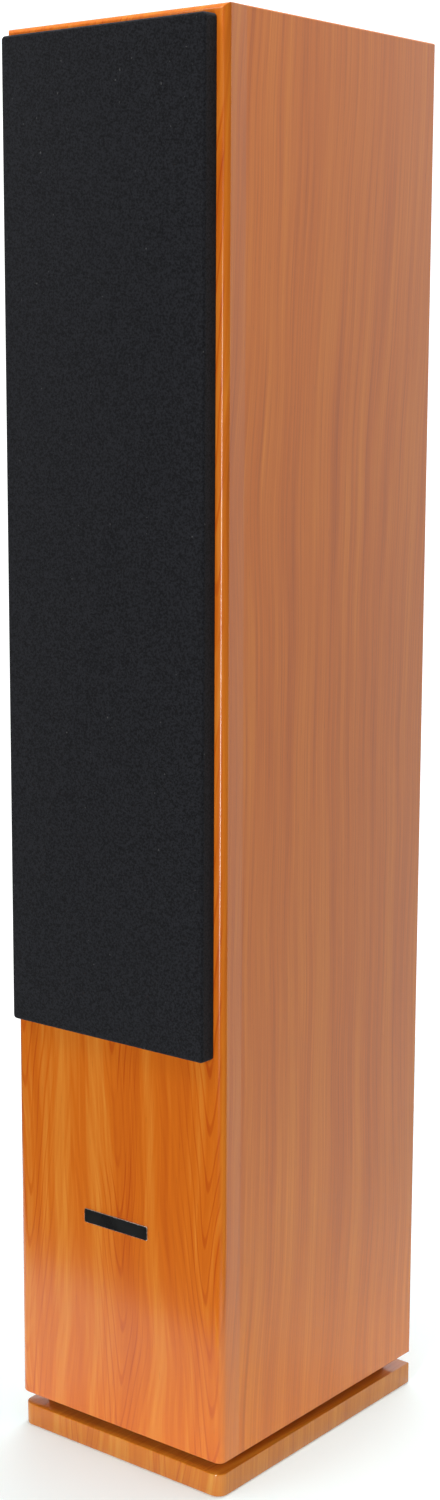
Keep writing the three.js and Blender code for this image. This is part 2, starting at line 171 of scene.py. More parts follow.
def grain_streaks(tree, across, along, weights):
    """Streaks along the grain, 0 to 1, from broad, medium and fine ones, and the fine ones alone."""
    value = 0.0
    for cells, layer, weight in zip(((44, 1.0), (170, 2.2), (560, 6)), (0, 7, 3), weights):
        streak = stretched_noise(tree, across, along, cells, layer, 4, 0.62)
        value = tree.plus(tree.times(streak, weight), value)
    return value, streak


def wandering(tree, across, along, cells, amount):
    """The place across the grain, moved sideways by a slow wave."""
    wave = stretched_noise(tree, across, along, cells, 5, 2)
    return tree.plus(across, tree.times(tree.minus(wave, 0.5), amount))


def cathedral_figure(tree, across, along):
    """Flat-cut veneer: streaks, with nested parabolas that point down in columns side by side."""
    moved = wandering(tree, across, along, (9, 3.8), 0.036)
    column = tree.math("PINGPONG", moved, COLUMN_PITCH / 2)
    rounded = tree.math("SQRT", tree.plus(tree.times(column, column), FIGURE_TIP ** 2))
    ring = tree.minus(rounded, tree.times(along, FIGURE_SLOPE))
    streaks, fine = grain_streaks(tree, moved, along, (0.46, 0.24, 0.10))
    rings = stretched_noise(tree, ring, across, (170, 8), 2, 2)
    value = tree.plus(streaks, tree.times(rings, 0.20))
    line = tree.range(tree.math("SINE", tree.times(ring, 2 * math.pi / RING_PITCH)), 0.62, 1.0)
    patches = stretched_noise(tree, across, along, (14, 9), 4, 1)
    strength = tree.times(tree.range(column, 0.034, 0.008), tree.range(patches, 0.32, 0.52))
    darker = tree.times(tree.times(line, strength), RING_DARKNESS)
    return tree.minus(value, darker), fine


def straight_figure(tree, across, along):
    """Quarter-cut veneer: fine upright lines that drift a little."""
    leaning = tree.minus(across, tree.times(along, GRAIN_LEAN))
    moved = wandering(tree, leaning, along, (4, 2.2), 0.045)
    return grain_streaks(tree, moved, along, (0.36, 0.32, 0.32))


def cherry_material(name, offset, coat, coat_roughness, tone):
    """Lacquered cherry veneer. Each face gets the figure for the way that it looks: front, side or top."""
    material, tree, principled = new_material(
        name, Roughness=0.42, Coat_Weight=coat, Coat_Roughness=coat_roughness, Coat_IOR=1.5,
        Specular_IOR_Level=0.0)
    coordinates = tree.add("ShaderNodeTexCoord")
    place = tree.add("ShaderNodeVectorMath", {0: coordinates.outputs["Object"], 1: offset}, operation="ADD")
    x, y, z = tree.split(place.outputs[0])
    normal = tree.split(coordinates.outputs["Normal"])
    front, front_fine = cathedral_figure(tree, x, z)
    side, side_fine = straight_figure(tree, y, z)
    top, top_fine = straight_figure(tree, x, y)
    faces_side = tree.range(tree.math("ABSOLUTE", normal[0]), 0.45, 0.85)
    faces_up = tree.range(tree.math("ABSOLUTE", normal[2]), 0.45, 0.85)

    def chosen(front_value, side_value, top_value):
        return tree.mix(faces_up, tree.mix(faces_side, front_value, side_value), top_value)

    def coloured(value, colours):
        toned = [[channel * share for channel, share in zip(colour, tone)] for colour in colours]
        return tree.ramp(value, list(zip(STREAK_VALUES, toned)))

    fine = chosen(front_fine, side_fine, top_fine)
    # Faces turned sideways or up take the paler plain colours, which paint light onto them.
    colour = chosen(coloured(front, FIGURED_CHERRY), coloured(side, PLAIN_CHERRY_WITH_PAINTED_LIGHT),
                    coloured(top, PLAIN_CHERRY_WITH_PAINTED_LIGHT))
    pores = stretched_noise(tree, tree.plus(x, y), 0.0, (1500, 0), tree.times(z, 70), 1)
    pore = tree.range(pores, 0.68, 0.78)
    tree.set(principled.inputs["Base Color"], tree.mix(tree.times(pore, 0.28), colour, PORE_COLOUR))
    tree.set(principled.inputs["Normal"], tree.bump(fine, 0.06, 0.0004))
    return material


# ---- Other materials ----

def gloss_of(tree, vector, scale, low, high):
    """Roughness that wanders between two values."""
    return tree.range(tree.noise(vector, scale, 3), 0.3, 0.7, low, high, smooth=False)


def object_place(tree):
    return tree.add("ShaderNodeTexCoord").outputs["Object"]


def moulded_material(name, colour, roughness, grain=0.0008, strength=0.25, **shader):
    """Moulded plastic or rubber with a fine spark-eroded texture and slight wear in its gloss."""
    material, tree, principled = new_material(name, **shader)
    place = object_place(tree)
    texture = tree.noise(place, 1 / grain, 3)
    cloud = tree.noise(place, 28, 3)
    paler = tuple(min(1, channel * 1.35 + 0.004) for channel in colour)
    tree.set(principled.inputs["Base Color"], tree.ramp(cloud, [(0.3, colour), (0.7, paler)]))
    tree.set(principled.inputs["Roughness"], gloss_of(tree, place, 60, roughness - 0.07, roughness + 0.07))
    tree.set(principled.inputs["Normal"], tree.bump(texture, strength, grain * 0.3))
    return material


def metal_material(name, colour, roughness, brushed=False):
    """Metal with fine scratches, which run along X when it is brushed."""
    material, tree, principled = new_material(name, Metallic=1.0)
    place = object_place(tree)
    if brushed:
        x, y, z = tree.split(place)
        drawn_out = tree.combine(tree.times(x, 90), tree.times(y, 900), tree.times(z, 3000))
        scratches = tree.noise(drawn_out, 1, 3)
    else:
        scratches = tree.noise(place, 300, 3)
    paler = tuple(min(1, channel * 1.18) for channel in colour)
    tree.set(principled.inputs["Base Color"], tree.ramp(scratches, [(0.35, colour), (0.65, paler)]))
    tree.set(principled.inputs["Roughness"], gloss_of(tree, place, 160, roughness - 0.06, roughness + 0.08))
    tree.set(principled.inputs["Normal"], tree.bump(scratches, 0.12, 0.0001))
    return material


THREAD = 0.0009              # pitch of the grille cloth's weave
LINT_COLOUR = (0.12, 0.12, 0.12, 1)


def woven_material(name, dark, light, pitch, strength=0.7, **shader):
    """Plain weave: two sets of threads that pass over and under each other, with slubs and lint."""
    material, tree, principled = new_material(name, **shader)
    place = object_place(tree)
    x, y, z = tree.split(place)
    turn = 2 * math.pi / pitch
    across = tree.times(tree.plus(x, y), turn)
    up = tree.times(z, turn)

    def thread(angle):
        return tree.math("ABSOLUTE", tree.math("SINE", tree.times(angle, 0.5)))

    over = tree.times(tree.math("SINE", across), tree.math("SINE", up))
    height = tree.plus(tree.times(over, 0.25), tree.times(tree.plus(thread(across), thread(up)), 0.5))
    slub = tree.range(tree.noise(place, 0.6 / pitch, 3, 0.7), 0.36, 0.64)
    value = tree.plus(tree.times(height, 0.4), tree.times(slub, 0.6))
    colour = tree.ramp(value, [(0.2, dark), (0.8, light)])
    lint = tree.range(tree.noise(place, 300, 1), 0.79, 0.83)
    tree.set(principled.inputs["Base Color"], tree.mix(tree.times(lint, 0.6), colour, LINT_COLOUR))
    tree.set(principled.inputs["Normal"], tree.bump(height, strength, pitch * 0.35))
    return material


# ---- Mesh helpers ----

def finish_mesh(name, bm, material, body, replaced, angle=SHARP_ANGLE):
    """A piece from a bmesh, smooth but for its sharp edges, riding on a body if one is given."""
    bmesh.ops.recalc_face_normals(bm, faces=bm.faces)
    mesh = bpy.data.meshes.new(name)
    bm.to_mesh(mesh)
    bm.free()
    mesh.materials.append(material)
    mesh.shade_smooth()
    mesh.set_sharp_from_angle(angle=math.radians(angle))
    piece = bpy.data.objects.new(name, mesh)
    bpy.context.scene.collection.objects.link(piece)
    if body:
        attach(piece, body)
    if replaced:
        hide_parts(*replaced)
    return piece


def centre_of(node):
    low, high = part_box(node)
    return (low + high) / 2


def near(value, wanted):
    return abs(value - wanted) < 1e-5


def on_planes(*wanted):
    """A test for the edges that lie on all of the wanted planes, given as (axis, value) pairs."""
    return lambda a, b: all(near(a[axis], value) and near(b[axis], value) for axis, value in wanted)


def bevel_edges(bm, chosen, radius, segments):
    edges = [edge for edge in bm.edges if chosen(*(vertex.co for vertex in edge.verts))]
    bmesh.ops.bevel(bm, geom=edges, offset=radius, segments=segments, profile=0.5, affect="EDGES")


def add_block(bm, low, high):
    """A box between two corners."""
    centre = (Vector(low) + Vector(high)) / 2
    size = Vector(high) - Vector(low)
    for vertex in bmesh.ops.create_cube(bm, size=1)["verts"]:
        vertex.co = centre + Vector(c * s for c, s in zip(vertex.co, size))


def bridge_rings(bm, rings, closed=False):
    """Quads from each ring of vertices to the next, and from the last to the first if closed."""
    for first, second in zip(rings, rings[1:] + rings[:1] if closed else rings[1:]):
        for i in range(len(first)):
            j = (i + 1) % len(first)
            bm.faces.new((first[i], first[j], second[j], second[i]))


def add_turned(bm, profile, centre, steps):
    """A body turned about Y from (radius, depth) pairs, which end on the axis or close on themselves."""
    rings = []
    for radius, depth in profile:
        if radius == 0:
            rings.append([bm.verts.new((centre[0], centre[1] + depth, centre[2]))] * steps)
            continue
        angles = [2 * math.pi * step / steps for step in range(steps)]
        rings.append([bm.verts.new((centre[0] + radius * math.cos(a), centre[1] + depth,
                                    centre[2] + radius * math.sin(a))) for a in angles])
    closed = profile[0][0] != 0
    pairs = list(zip(rings, rings[1:] + rings[:1])) if closed else list(zip(rings, rings[1:]))
    for first, second in pairs:
        for step in range(steps):
            following = (step + 1) % steps
            corners = [first[step], first[following], second[following], second[step]]
            unique = list(dict.fromkeys(corners))
            if len(unique) > 2:
                bm.faces.new(unique)


def add_ring_body(bm, centre, rows, steps):
    """A body from rings round a Y line. A row is a radius, which may depend on the angle, and a depth."""
    rings = []
    for radius, depth in rows:
        ring = []
        for step in range(steps):
            angle = 2 * math.pi * step / steps
            reach = radius(angle) if callable(radius) else radius
            place = (centre[0] + reach * math.cos(angle), depth, centre[2] + reach * math.sin(angle))
            ring.append(bm.verts.new(place))
        rings.append(ring)
    bridge_rings(bm, rings)
    bm.faces.new(rings[0])
    bm.faces.new(rings[-1])


def add_cylinder(bm, centre, radius, length, steps, axis="Y"):
    """A closed cylinder centred on a point, along Y or Z."""
    turn = Matrix.Rotation(-math.pi / 2, 4, "X") if axis == "Y" else Matrix.Identity(4)
    bmesh.ops.create_cone(bm, cap_ends=True, segments=steps, radius1=radius, radius2=radius,
                          depth=length, matrix=Matrix.Translation(centre) @ turn)


def rounded_loop(half_width, low, high, radius):
    """Points (x, z) round a rectangle with rounded corners, from its bottom right corner upward."""
    corners = [(half_width, low, 1, 1, -90), (half_width, high, 1, -1, 0),
               (-half_width, high, -1, -1, 90), (-half_width, low, -1, 1, 180)]
    points = []
    for x, z, sx, sz, start in corners:
        centre = (x - sx * radius, z + sz * radius)
        for step in range(CORNER_STEPS + 1):
            angle = math.radians(start + 90 * step / CORNER_STEPS)
            points.append((centre[0] + radius * math.cos(angle), centre[1] + radius * math.sin(angle)))
    return points


def cut(piece, tool_bm):
    """Cuts the tool's solids out of a finished piece."""
    bmesh.ops.recalc_face_normals(tool_bm, faces=tool_bm.faces)
    mesh = bpy.data.meshes.new("cutter")
    tool_bm.to_mesh(mesh)
    tool_bm.free()
    tool = bpy.data.objects.new("cutter", mesh)
    bpy.context.scene.collection.objects.link(tool)
    modifier = piece.modifiers.new("cut", "BOOLEAN")
    modifier.operation = "DIFFERENCE"
    modifier.solver = "EXACT"
    modifier.object = tool
    bpy.context.view_layer.update()
    graph = bpy.context.evaluated_depsgraph_get()
    result = bpy.data.meshes.new_from_object(piece.evaluated_get(graph))
    piece.modifiers.remove(modifier)
    result.name = piece.data.name
    piece.data = result
    piece.data.shade_smooth()
    piece.data.set_sharp_from_angle(angle=math.radians(SHARP_ANGLE))
    bpy.data.objects.remove(tool)


# ---- Camera ----

CAMERA_PLACE = Vector((1.0435, -1.3361, 0.8206))
CAMERA_FORWARD = Vector((-0.61965, 0.76524, -0.17447)).normalized()
CAMERA_RIGHT = Vector((0.77705, 0.62944, 0.0010))
CAMERA_LENS = 53.773         # mm, for a frame 36 mm tall
CAMERA_SHIFT = (0.0247, 0.0121)


def add_camera():
    data = bpy.data.cameras.new("camera")
    data.sensor_width = 36
    data.lens = CAMERA_LENS
    data.shift_x, data.shift_y = CAMERA_SHIFT
    data.clip_end = 100
    camera = bpy.data.objects.new("camera", data)
    bpy.context.scene.collection.objects.link(camera)
    right = (CAMERA_RIGHT - CAMERA_FORWARD * CAMERA_RIGHT.dot(CAMERA_FORWARD)).normalized()
    up = right.cross(CAMERA_FORWARD)
    turn = Matrix((right, up, -CAMERA_FORWARD)).transposed().to_4x4()
    camera.matrix_world = Matrix.Translation(CAMERA_PLACE) @ turn
    bpy.context.scene.camera = camera


add_camera()


# ---- Studio ----

def direction_of(azimuth, elevation=0.0):
    """Unit vector from the object towards a camera at that azimuth and elevation, in degrees."""
    a, e = math.radians(azimuth), math.radians(elevation)
    return Vector((math.sin(a) * math.cos(e), -math.cos(a) * math.cos(e), math.sin(e)))


def add_area_light(name, place, target, width, height, power):
    """A rectangular softbox that faces the target and is itself out of the picture."""
    data = bpy.data.lights.new(name, "AREA")
    data.shape = "RECTANGLE"
    data.size = width
    data.size_y = height
    data.energy = power
    light = bpy.data.objects.new(name, data)
    bpy.context.scene.collection.objects.link(light)
    light.location = place
    light.rotation_euler = (Vector(target) - Vector(place)).to_track_quat("-Z", "Y").to_euler()
    light.visible_camera = False


SKY_FRONT = 0.06             # radiance of the studio in front of the object
SKY_BACK = 1.30              # radiance of the white backdrop behind it
SKY_TOP = 0.30               # radiance that the sky gains towards its top
FLOOR_LOW = (-0.6, -0.285, -0.012)     # its front edge ends the reflection in the lower front
FLOOR_HIGH = (0.31, 0.95, -0.0005)
FLOOR_GLOW = 0.17            # keeps the floor white next to the object
MIDDLE = Vector((0, 0, 0.50))
OVERHEAD_HEIGHT = 2.9
OVERHEAD_POWER = 53
FRONT_BOX_AZIMUTH = 16       # degrees to the right of straight ahead
FRONT_BOX_DISTANCE = 2.6
FRONT_BOX_POWER = 50
KEY_TARGET = Vector((-0.1, -0.2, 0.3))
KEY_DISTANCE = 2.4
KEY_POWER = 9


def add_world():
    """A studio that is dim in front of the object and white behind it."""
    world = bpy.data.worlds.new("studio")
    world.use_nodes = True
    bpy.context.scene.world = world
    tree = Tree(world.node_tree)
    background = world.node_tree.nodes["Background"]
    background.inputs["Color"].default_value = (1, 1, 1, 1)
    y, z = tree.split(tree.add("ShaderNodeTexCoord").outputs["Generated"])[1:]
    behind = tree.range(y, 0.45, 0.70, SKY_FRONT, SKY_BACK)
    overhead = tree.range(z, 0.2, 0.9, 0.0, SKY_TOP)
    tree.set(background.inputs["Strength"], tree.plus(behind, overhead))


def add_floor():
    material, tree, principled = new_material(
        "studio_floor", Roughness=0.9, Specular_IOR_Level=0.2, Emission_Color=(1, 1, 1, 1),
        Emission_Strength=FLOOR_GLOW)
    paper = tree.noise(object_place(tree), 3, 3)
    white = tree.ramp(paper, [(0.3, (0.83, 0.965, 0.98)), (0.7, (0.84, 0.975, 0.99))])
    tree.set(principled.inputs["Base Color"], white)
    bm = bmesh.new()
    add_block(bm, FLOOR_LOW, FLOOR_HIGH)
    finish_mesh("floor", bm, material, None, None)


def add_lights():
    add_area_light("overhead_box", (0, 0.1, OVERHEAD_HEIGHT), (0, 0.1, 0), 0.9, 0.9, OVERHEAD_POWER)
    front_box = MIDDLE + direction_of(FRONT_BOX_AZIMUTH) * FRONT_BOX_DISTANCE
    add_area_light("front_box", front_box, MIDDLE, 0.20, 1.5, FRONT_BOX_POWER)
    key_box = KEY_TARGET + direction_of(-22, 62) * KEY_DISTANCE
    add_area_light("key_box", key_box, KEY_TARGET, 0.9, 0.9, KEY_POWER)


add_world()
add_floor()
add_lights()
bpy.context.scene.view_settings.view_transform = "Standard"


# ---- Materials of the pieces ----

record = frame["record"]
MATERIALS = {
    "cherry_veneer": cherry_material("cherry_veneer", (0.0, 0.0, 0.0), 0.70, 0.12, tone=(0.98, 0.96, 0.93)),
    "raw_board": moulded_material("raw_board", (0.38, 0.24, 0.12), 0.8, grain=0.0015),
    "black_paint": moulded_material("black_paint", (0.012, 0.011, 0.010), 0.7),
    "zinc_steel": metal_material("zinc_steel", (0.62, 0.61, 0.58), 0.32),
    "wadding": moulded_material("wadding", (0.66, 0.65, 0.62), 0.95, grain=0.003, strength=0.8,
                                Sheen_Weight=0.4),
    "black_plastic": moulded_material("black_plastic", (0.014, 0.014, 0.015), 0.45),
    "rubber": moulded_material("rubber", (0.010, 0.010, 0.011), 0.58, grain=0.0005, strength=0.12),
    "cone": moulded_material("cone", (0.035, 0.035, 0.038), 0.5, grain=0.0012, strength=0.3),
    "spider_cloth": woven_material("spider_cloth", (0.30, 0.17, 0.04), (0.62, 0.40, 0.13), 0.0008,
                                   Roughness=0.85),
    "coil_former": metal_material("coil_former", (0.75, 0.46, 0.26), 0.4, brushed=True),
    "magnet": moulded_material("magnet", (0.03, 0.03, 0.032), 0.55, grain=0.0006),
    "dome_silk": woven_material("dome_silk", (0.008, 0.008, 0.009), (0.03, 0.03, 0.032), 0.0004,
                                strength=0.2, Roughness=0.6, Sheen_Weight=0.2),
    "grille_cloth": woven_material("grille_cloth", (0.0016, 0.0018, 0.0025), (0.0170, 0.0180, 0.0222),
                                   THREAD, Roughness=0.9, Specular_IOR_Level=0.15, Sheen_Weight=0.08,
                                   Sheen_Roughness=0.5),
    "badge_metal": moulded_material("badge_metal", (0.004, 0.004, 0.004), 0.30, strength=0.03),
    "brass": metal_material("brass", (0.83, 0.60, 0.24), 0.22),
    "red_plastic": moulded_material("red_plastic", (0.42, 0.008, 0.010), 0.35, strength=0.08),
    "circuit_board": moulded_material("circuit_board", (0.01, 0.09, 0.035), 0.4, grain=0.0005,
                                      strength=0.1),
    "copper_coil": metal_material("copper_coil", (0.80, 0.36, 0.16), 0.3, brushed=True),
    "wire_sleeve": woven_material("wire_sleeve", (0.02, 0.02, 0.02), (0.09, 0.09, 0.09), 0.0012,
                                  Roughness=0.7),
}
plinth_cherry = cherry_material("plinth_cherry", (0.037, 0.11, 0.0), 1.0, 0.12, tone=(0.77, 0.94, 1.05))
# The front baffle's cherry is a darker-toned copy of the veneer: painted shade that dims the lit front
# face.
baffle_cherry_shaded = cherry_material("baffle_cherry_shaded", (0.0, 0.0, 0.0), 1.0, 0.22, tone=(0.93, 0.91, 0.85))
rim_silver = metal_material("rim_silver", (0.72, 0.70, 0.66), 0.25)
film_yellow = moulded_material("film_yellow", (0.72, 0.45, 0.04), 0.3, strength=0.05)
screw_black = metal_material("screw_black", (0.045, 0.045, 0.05), 0.38)

SLOTS = {part["node"]: part["material_slot"] for part in record["subparts"]}
BODIES = {node: body for body, nodes in record["behaviour"]["bodies"].items() for node in nodes}
for node_name, node_object in frame["nodes"].items():
    node_object.data.materials.clear()
    node_object.data.materials.append(MATERIALS[SLOTS[node_name]])


def looks_of(node, bm, material=None, angle=SHARP_ANGLE):
    """A finer piece that stands for one CAD node and rides on that node's body."""
    slot = SLOTS[node]
    return finish_mesh(f"{node}_looks", bm, material or MATERIALS[slot], BODIES[node], [node], angle)


def extra_piece(name, bm, material):
    """A piece on the cabinet that no CAD node stands for, such as a screw."""
    finish_mesh(name, bm, material, CABINET, None)


# ---- Cabinet ----

BAFFLE_LOW, BAFFLE_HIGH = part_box("front_baffle")
LEFT_LOW, LEFT_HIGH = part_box("side_panel_left")
HALF_WIDTH = BAFFLE_HIGH.x
FRONT, BACK = BAFFLE_LOW.y, LEFT_HIGH.y
BASE, TOP = BAFFLE_LOW.z, BAFFLE_HIGH.z
BOARD = LEFT_HIGH.x - LEFT_LOW.x
BEHIND_BAFFLE = BAFFLE_HIGH.y
FRONT_ROUND = 6.5 * MM
SMALL_ROUND = 1.3 * MM
DRIVERS = ("lower_woofer", "upper_woofer", "midrange")
DRIVER_CUTOUT = 71.5 * MM
TWEETER_CUTOUT = 38 * MM
PLINTH_CORNER = 9 * MM
PLINTH_EDGE = 0.9 * MM
BOLT_HEAD_HOLE = 7 * MM
BOLT_HOLE = 3 * MM


def add_baffle():
    """The front panel, rounded along its front edges, with the driver and grille socket holes cut out."""
    bm = bmesh.new()
    add_block(bm, BAFFLE_LOW, BAFFLE_HIGH)
    on_front, on_base, at_back = on_planes((1, FRONT)), on_planes((2, BASE)), on_planes((1, BEHIND_BAFFLE))
    bevel_edges(bm, lambda a, b: on_front(a, b) and not on_base(a, b), FRONT_ROUND, 8)
    for level in (BASE, TOP):
        on_level = on_planes((2, level))
        bevel_edges(bm, lambda a, b: on_level(a, b) and not at_back(a, b), SMALL_ROUND, 3)
    # The baffle takes the darker cherry copy, painted shade on the front face.
    piece = looks_of("front_baffle", bm, baffle_cherry_shaded)
    holes = bmesh.new()
    middle_y = (FRONT + BEHIND_BAFFLE) / 2
    for driver in DRIVERS:
        centre = centre_of(f"{driver}_basket")
        add_cylinder(holes, (centre.x, middle_y, centre.z), DRIVER_CUTOUT, 3 * BOARD, FINE_STEPS)
    centre = centre_of("tweeter_faceplate")
    add_cylinder(holes, (centre.x, middle_y, centre.z), TWEETER_CUTOUT, 3 * BOARD, 64)
    for number in range(1, 7):
        low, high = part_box(f"grille_socket_{number}")
        centre = (low + high) / 2
        depth = high.y - FRONT
        add_cylinder(holes, (centre.x, FRONT + depth / 2 - MM, centre.z), (high.z - low.z) / 2,
                     depth + 2 * MM, 24)
    cut(piece, holes)


def add_sides():
    for name, sign in (("side_panel_left", -1), ("side_panel_right", 1)):
        outer = sign * HALF_WIDTH
        inner = sign * (HALF_WIDTH - BOARD)
        bm = bmesh.new()
        add_block(bm, (min(outer, inner), BEHIND_BAFFLE, BASE), (max(outer, inner), BACK, TOP))
        rounded = [on_planes((0, outer), (2, TOP)), on_planes((0, outer), (2, BASE)),
                   on_planes((0, outer), (1, BACK)), on_planes((1, BACK), (2, TOP))]
        bevel_edges(bm, lambda a, b: any(on_edge(a, b) for on_edge in rounded), SMALL_ROUND, 3)
        looks_of(name, bm)


def add_top_and_bottom():
    inside = HALF_WIDTH - BOARD
    for name, low, high in (("top_panel", TOP - BOARD, TOP), ("bottom_panel", BASE, BASE + BOARD)):
        bm = bmesh.new()
        add_block(bm, (-inside, BEHIND_BAFFLE, low), (inside, BACK, high))
        if name == "top_panel":
            bevel_edges(bm, on_planes((1, BACK), (2, TOP)), SMALL_ROUND, 3)
        looks_of(name, bm)


def add_plinth():
    low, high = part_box("plinth_base")
    bm = bmesh.new()
    add_block(bm, low, high)
    for side in (low.x, high.x):
        bevel_edges(bm, on_planes((0, side), (1, low.y)), PLINTH_CORNER, 10)
    for level in (low.z, high.z):
        bevel_edges(bm, on_planes((2, level)), PLINTH_EDGE, 2)
    piece = looks_of("plinth_base", bm, plinth_cherry)
    holes = bmesh.new()
    for number in range(1, 5):
        centre = centre_of(f"plinth_bolt_{number}")
        add_cylinder(holes, (centre.x, centre.y, low.z), BOLT_HEAD_HOLE, 16 * MM, 32, "Z")
        add_cylinder(holes, (centre.x, centre.y, high.z), BOLT_HOLE, 60 * MM, 24, "Z")
    cut(piece, holes)


add_baffle()
add_sides()
add_top_and_bottom()
add_plinth()


# ---- Grille ----

CLOTH_LOW, CLOTH_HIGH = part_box("grille_cloth_wrap")
CLOTH = 0.6 * MM             # thickness
GRILLE_CORNER = 3.0 * MM
GRILLE_ROUND = 2.0 * MM
BADGE_RIM = 0.5 * MM


def add_cloth():
    """A tray of cloth: the flat face, its rounded rim and the strip that wraps round the frame."""
    bm = bmesh.new()
    skins = []
    for inset in (0.0, CLOTH):
        rows = [(CLOTH_HIGH.y, inset)]
        for step in range(7):
            angle = math.radians(90 * step / 6)
            round_radius = GRILLE_ROUND - inset
            rows.append((CLOTH_LOW.y + inset + round_radius * (1 - math.sin(angle)),
                         inset + round_radius * (1 - math.cos(angle))))
        rings = []
        for depth, shift in rows:
            loop = rounded_loop(CLOTH_HIGH.x - shift, CLOTH_LOW.z + shift, CLOTH_HIGH.z - shift,
                                max(GRILLE_CORNER - shift, 0.5 * MM))
            rings.append([bm.verts.new((x, depth, z)) for x, z in loop])
        bridge_rings(bm, rings)
        bm.faces.new(rings[-1])
        skins.append(rings[0])
    bridge_rings(bm, skins)
    slot = SLOTS["grille_cloth"]
    piece = finish_mesh("grille_cloth_looks", bm, MATERIALS[slot], "grille",
                        ["grille_cloth", "grille_cloth_wrap"], 40)


def add_badge():
    """A blank plate with a thin rim round it."""
    low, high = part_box("badge_plate")
    centre = (low + high) / 2
    half = (high.x - low.x) / 2

    def ring(bm, depth, shift, corner):
        loop = rounded_loop(half - shift, low.z + shift, high.z - shift, corner)
        return [bm.verts.new((centre.x + x, depth, z)) for x, z in loop]

    plate = bmesh.new()
    rings = [ring(plate, depth, BADGE_RIM, 1.0 * MM) for depth in (low.y, low.y + BADGE_RIM, high.y)]
    bridge_rings(plate, rings)
    plate.faces.new(rings[0])
    plate.faces.new(rings[-1])
    looks_of("badge_plate", plate)
    rim = bmesh.new()
    proud = low.y - 0.05 * MM
    profile = [(high.y, 0.0), (low.y + 0.15 * MM, 0.0), (proud, 0.2 * MM), (proud, BADGE_RIM),
               (high.y, BADGE_RIM)]
    rings = [ring(rim, depth, shift, 1.5 * MM - shift) for depth, shift in profile]
    bridge_rings(rim, rings, closed=True)
    extra_piece("badge_rim", rim, rim_silver)


add_cloth()
add_badge()


# ---- Cone drivers ----

FLANGE = 3.5                 # mm that a flange stands proud of the baffle
DRIVER_SCREW_CIRCLE = 76.3 * MM        # radius of the circle that the screws stand on
TWEETER_SCREW_CIRCLE = 44 * MM
FLANGE_SCREW = 2.6 * MM      # radius of a screw's head


def at_depth(profile):
    """Turns (radius, depth behind the front face) pairs in millimetres into metres."""
    return [(radius * MM, depth * MM) for radius, depth in profile]


def arc(centre_radius, centre_depth, radius, start, end):
    """Points in millimetres on an arc; angle 0 points outward and 90 forward."""
    points = []
    for step in range(ARC_STEPS + 1):
        angle = math.radians(start + (end - start) * step / ARC_STEPS)
        points.append((centre_radius + radius * math.cos(angle), centre_depth - radius * math.sin(angle)))
    return points


def turned_piece(profile, centre):
    """A bmesh turned from pairs in millimetres round a line through the centre."""
    bm = bmesh.new()
    add_turned(bm, at_depth(profile), (centre.x, FRONT, centre.z), FINE_STEPS)
    return bm


def hexagon(flat):
    """The radius of a hexagon at each angle, from half of its width across flats."""
    return lambda angle: flat / math.cos((angle + math.pi / 6) % (math.pi / 3) - math.pi / 6)


def add_screw(name, place, radius, outward=-1):
    """A button-head screw with a hexagon socket, whose head rises along Y from its seat."""
    socket = hexagon(0.42 * radius)
    rise = outward * radius
    head = [(radius, 0.0), (radius, 0.25), (0.93 * radius, 0.50), (0.78 * radius, 0.70),
            (0.55 * radius, 0.80), (socket, 0.80), (socket, 0.25)]
    bm = bmesh.new()
    add_ring_body(bm, place, [(reach, place[1] + rise * height) for reach, height in head], 48)
    extra_piece(name, bm, screw_black)


def add_flange_screws(name, centre, circle, count):
    """Screws evenly round a flange, the first half a step above the horizontal."""
    for number in range(count):
        angle = 2 * math.pi * (number + 0.5) / count
        place = (centre.x + circle * math.cos(angle), FRONT - FLANGE * MM,
                 centre.z + circle * math.sin(angle))
        add_screw(f"{name}_screw_{number + 1}", place, FLANGE_SCREW)


def add_driver(name):
    centre = centre_of(f"{name}_basket")
    add_basket(name, centre)
    add_surround(name, centre)
    add_cone(name, centre)
    add_motor(name, centre)


def add_basket(name, centre):
    """A basket of four spokes, with screws round its flange."""
    outline = [(81, -0.3), (81, -2.4), (80.5, -3.1), (79.5, -FLANGE), (72.4, -FLANGE), (72, -3.2),
               (71, -1.4), (66, -1.4), (66, 2.6), (44, 51.9), (18, 51.9), (18, 58), (46.5, 58), (70.5, 4),
               (70.5, -0.3)]
    piece = looks_of(f"{name}_basket", turned_piece(outline, centre))
    windows = bmesh.new()
    for width, height in ((200, 42), (42, 200)):
        reach = Vector((width, 0, height)) * MM / 2
        front, back = Vector((0, FRONT + 12 * MM, 0)), Vector((0, FRONT + 46 * MM, 0))
        middle = Vector((centre.x, 0, centre.z))
        add_block(windows, middle + front - reach, middle + back + reach)
    cut(piece, windows)
    add_flange_screws(name, centre, DRIVER_SCREW_CIRCLE, 8)


def add_surround(name, centre):
    """A half-roll of rubber that stretches between the basket and the cone."""
    roll = [(70.5, -1.7), (70.5, -2.6), (66.6, -2.6)] + arc(61, -2.6, 5.0, 0, 180)
    roll += [(56, 0.4), (55.2, 0.9), (52, 0.9), (52, 1.9), (56.4, 1.9), (56.8, -2.6)]
    roll += arc(61, -2.6, 4.2, 180, 0) + [(66.6, -1.7)]
    surround = finish_mesh(f"{name}_surround_looks", turned_piece(roll, centre), MATERIALS["rubber"], None,
                           [f"{name}_surround"])
    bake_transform(surround)


def add_cone(name, centre):
    """A slightly bowed cone and its dust cap."""
    shares = [step / 12 for step in range(13)]
    front = [(54.5 - 39.3 * t, 2.3 + 25.2 * (t + 0.10 * math.sin(math.pi * t))) for t in shares]
    back = [(radius, depth + 1.3) for radius, depth in reversed(front)]
    looks_of(f"{name}_cone", turned_piece(front + back, centre))
    angles = [math.radians(angle) for angle in range(0, 91, 10)]
    front = [(24 * math.sin(a), 21.3 - 8 * math.cos(a)) for a in angles]
    back = [(max(radius - 1.0, 0), depth + 0.9) for radius, depth in reversed(front)]
    looks_of(f"{name}_dust_cap", turned_piece(front + back, centre))


